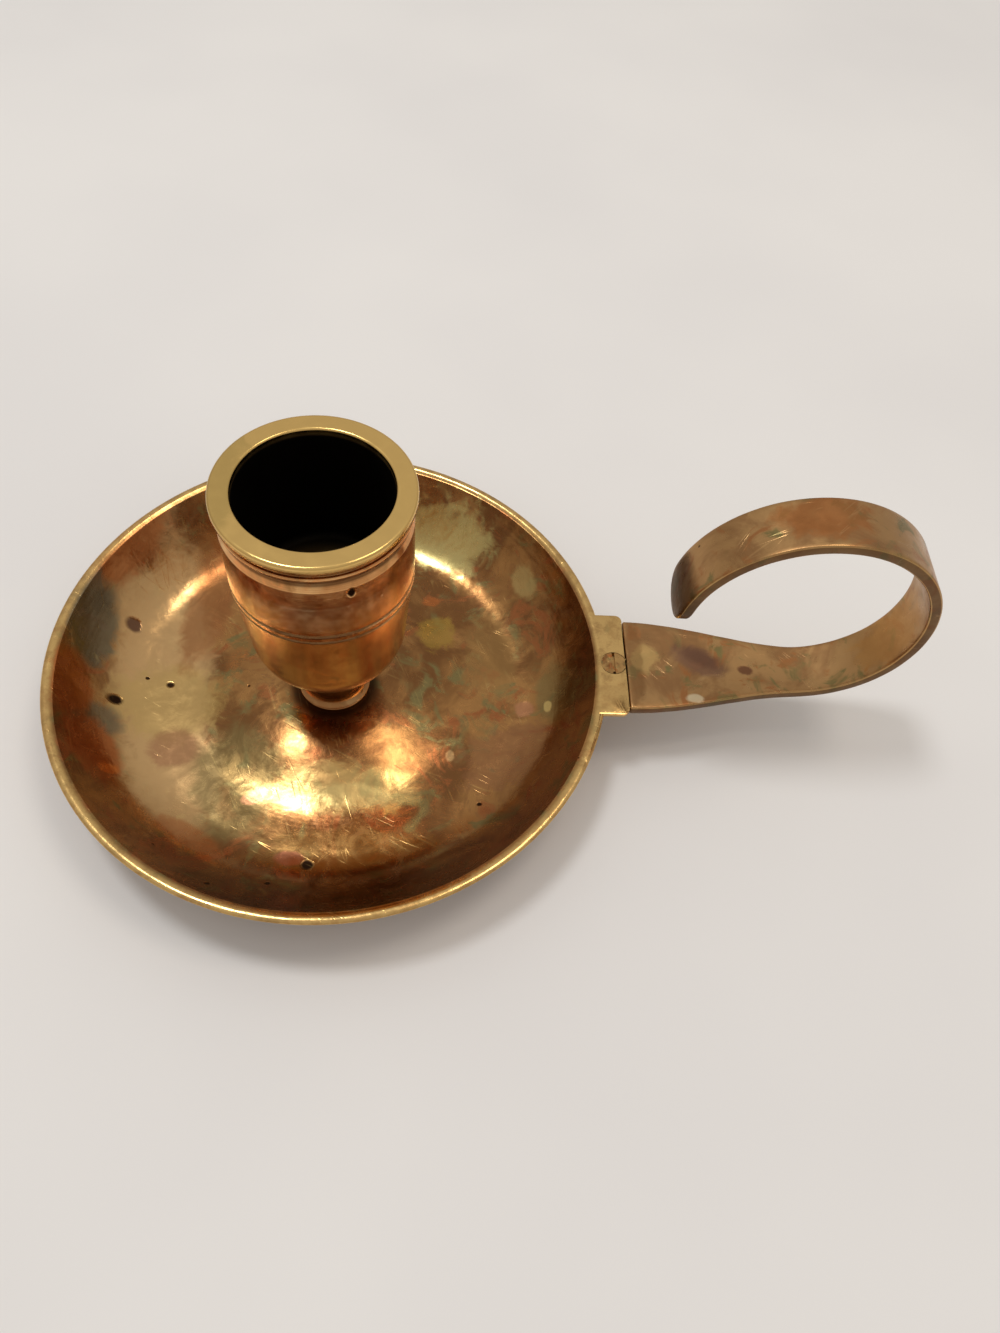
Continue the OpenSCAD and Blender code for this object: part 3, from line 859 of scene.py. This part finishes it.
def flat_strip(length, columns=12):
    """The strip before it is bent: rows across it, and a round cap at its free end."""
    bm = bmesh.new()
    tip_r = LOOP_W / 2
    tip_s = length - tip_r
    count = 150
    rows = []
    for i in range(count + 1):
        s = tip_s * i / count
        uneven = 1 + 0.008 * noise.noise(Vector((s * 0.25, 3, 0)))
        half = half_width(s) * (uneven if 4 < s < tip_s - 4 else 1)
        half = min(half, ROOT_W / 2)
        rows.append([bm.verts.new((s, half * (2 * k / columns - 1), 0)) for k in range(columns + 1)])
    for first, second in zip(rows, rows[1:]):
        for k in range(columns):
            bm.faces.new((first[k], second[k], second[k + 1], first[k + 1]))
    last = rows[-1]
    middle = columns // 2
    steps = 16
    rings = []
    for ring in range(middle, 0, -1):
        radius = tip_r * ring / middle
        line = [last[middle - ring]]
        for j in range(1, steps):
            angle = -pi / 2 + pi * j / steps
            line.append(bm.verts.new((tip_s + radius * cos(angle), radius * sin(angle), 0)))
        rings.append(line + [last[middle + ring]])
    for outer, inner in zip(rings, rings[1:]):
        for j in range(steps):
            bm.faces.new((outer[j], outer[j + 1], inner[j + 1], inner[j]))
    for j in range(steps):
        bm.faces.new((rings[-1][j], rings[-1][j + 1], last[middle]))
    grown_faces = bmesh.ops.extrude_face_region(bm, geom=list(bm.faces), use_keep_orig=True)["geom"]
    lower = [v for v in grown_faces if isinstance(v, bmesh.types.BMVert)]
    bmesh.ops.translate(bm, verts=lower, vec=(0, 0, -STRIP_T))
    bmesh.ops.recalc_face_normals(bm, faces=bm.faces)
    corners = [e for e in bm.edges if e.calc_face_angle(0) > radians(60)]
    bmesh.ops.bevel(
        bm, geom=corners, offset=0.32, segments=3, profile=0.5, affect="EDGES", clamp_overlap=True)
    return bm


def block(bm, low, high):
    """Adds a box between two corners."""
    box = bmesh.ops.create_cube(bm, size=1)["verts"]
    low, high = Vector(low), Vector(high)
    for v in box:
        v.co = Vector(((low[k] + high[k]) / 2 + v.co[k] * (high[k] - low[k]) for k in range(3)))


def mark_strip(bm, mesh_name):
    """Keeps each point's place on the flat strip, and how far it is on a side face or an edge."""
    mesh = bpy.data.meshes.new(mesh_name)
    bm.to_mesh(mesh)
    for name, kind in (("strip_place", "FLOAT_VECTOR"), ("side", "FLOAT"), ("edge", "FLOAT")):
        mesh.attributes.new(name, kind, "POINT")
    places, side, edge = (mesh.attributes[name].data for name in ("strip_place", "side", "edge"))
    for i, v in enumerate(mesh.vertices):
        places[i].vector = v.co
        lean = 1 - abs(v.normal.z)
        side[i].value = smooth_step(0.55, 0.95, lean)
        edge[i].value = smooth_step(0.08, 0.3, lean) * (1 - smooth_step(0.5, 0.8, lean))
    for v in mesh.vertices:
        v.co *= MM
    return mesh


def make_handle():
    points = path_points()
    length = sum((b - a).length for a, b in zip(points, points[1:]))
    path = polyline("handle_path", [(p.x + AXIS_X, 0, p.y) for p in points])
    bm = flat_strip(length)
    tongue_half = (ROOT_W - 3) / 2
    block(bm, (PAN_R + 0.25 - STRIP_START, -tongue_half, -STRIP_T), (0.3, tongue_half, -EAR_T))
    bm.verts.index_update()
    flat = mesh_object("flat_strip", mark_strip(bm, "flat_strip"))
    bm.free()
    obj = grown(flat, BEND, "finger_loop_bent", Path=path, Material=HANDLE_BRASS)
    bpy.data.objects.remove(path)
    return finished(obj, "finger_loop_handle", sharp=50)


pan = make_pan()
socket = make_socket()
handle = make_handle()
for name in ("socket_washer", "socket_screw", "handle_screw"):
    fixing = frame["nodes"][name]
    fixing.data.materials.clear()
    fixing.data.materials.append(FIXING_BRASS)


# Floor, world, lamps and camera
def floor_finish():
    material = bpy.data.materials.new("pale_table")
    material.use_nodes = True
    material.node_tree.nodes.clear()
    g = Graph(material.node_tree)
    seen = g.add("ShaderNodeTexCoord").outputs["Object"]
    drift = g.noise(seen, 9.0, 3.0, 0.5)
    tone = g.blend(g.ramp(drift, 0.3, 0.7), srgb(235, 232, 228), srgb(229, 226, 223))
    bsdf = g.add("ShaderNodeBsdfPrincipled", {"Base Color": tone, "Roughness": 0.6})
    bsdf.inputs["Specular IOR Level"].default_value = 0.2
    g.add("ShaderNodeOutputMaterial", {"Surface": bsdf.outputs[0]})
    return material


def make_floor(half=4.0, below=0.02):
    """A wide table top, a hair below the foot so that the two faces don't share a plane."""
    bm = bmesh.new()
    bmesh.ops.create_grid(bm, x_segments=2, y_segments=2, size=half)
    bmesh.ops.translate(bm, verts=bm.verts, vec=(0, 0, -below * MM))
    mesh = bpy.data.meshes.new("table_top")
    bm.to_mesh(mesh)
    bm.free()
    obj = mesh_object("table_top", mesh)
    mesh.materials.append(floor_finish())


def make_world():
    world = bpy.data.worlds.new("room")
    bpy.context.scene.world = world
    world.use_nodes = True
    world.node_tree.nodes.clear()
    g = Graph(world.node_tree)
    direction = g.add("ShaderNodeTexCoord").outputs["Generated"]
    up = g.add("ShaderNodeSeparateXYZ", {"Vector": direction}).outputs["Z"]
    tone = g.blend(g.ramp(up, 0.0, 0.85), srgb(204, 197, 189), srgb(226, 223, 220))
    light = g.add("ShaderNodeBackground", {"Color": tone, "Strength": 0.8})
    g.add("ShaderNodeOutputWorld", {"Surface": light.outputs[0]})


def lamp(name, place, size, power, tone):
    """A round soft lamp that shines at the pan; place is in millimetres from the pan's axis."""
    data = bpy.data.lights.new(name, "AREA")
    data.shape = "DISK"
    data.size = size * MM
    data.energy = power
    data.color = tone
    obj = bpy.data.objects.new(name, data)
    obj.location = (Vector(place) + Vector((AXIS_X, 0, 0))) * MM
    obj.rotation_mode = "QUATERNION"
    obj.rotation_quaternion = Vector(place).to_track_quat("Z", "Y")
    bpy.context.scene.collection.objects.link(obj)


def make_camera():
    data = bpy.data.cameras.new("photo_angle")
    data.sensor_width = SENSOR
    data.lens = SENSOR * FOCAL_PX / IMAGE_HEIGHT_PX
    data.clip_start, data.clip_end = 0.01, 20
    obj = bpy.data.objects.new("photo_angle", data)
    ahead = Vector((sin(VIEW_TURN) * cos(VIEW_DOWN), cos(VIEW_TURN) * cos(VIEW_DOWN), -sin(VIEW_DOWN)))
    level = Vector((cos(VIEW_TURN), -sin(VIEW_TURN), 0))
    down = ahead.cross(level)
    right = cos(VIEW_ROLL) * level + sin(VIEW_ROLL) * down
    up = sin(VIEW_ROLL) * level - cos(VIEW_ROLL) * down
    turn = Matrix((right, up, -ahead)).transposed()
    stand = Vector((sin(HANDLE_TURN), -cos(HANDLE_TURN), 0)) * CAMERA_BACK
    place = stand + Vector((AXIS_X, 0, RIM_Z + CAMERA_ABOVE_RIM))
    obj.matrix_world = Matrix.Translation(place * MM) @ turn.to_4x4()
    bpy.context.scene.collection.objects.link(obj)
    bpy.context.scene.camera = obj


make_floor()
make_world()
lamp("key", (-230, 130, 920), 190, 2.3, (0.94, 0.97, 1.0))
lamp("warm", (260, 60, 760), 240, 0.9, (1.0, 0.9, 0.8))
make_camera()
bpy.context.scene.view_settings.view_transform = "Standard"
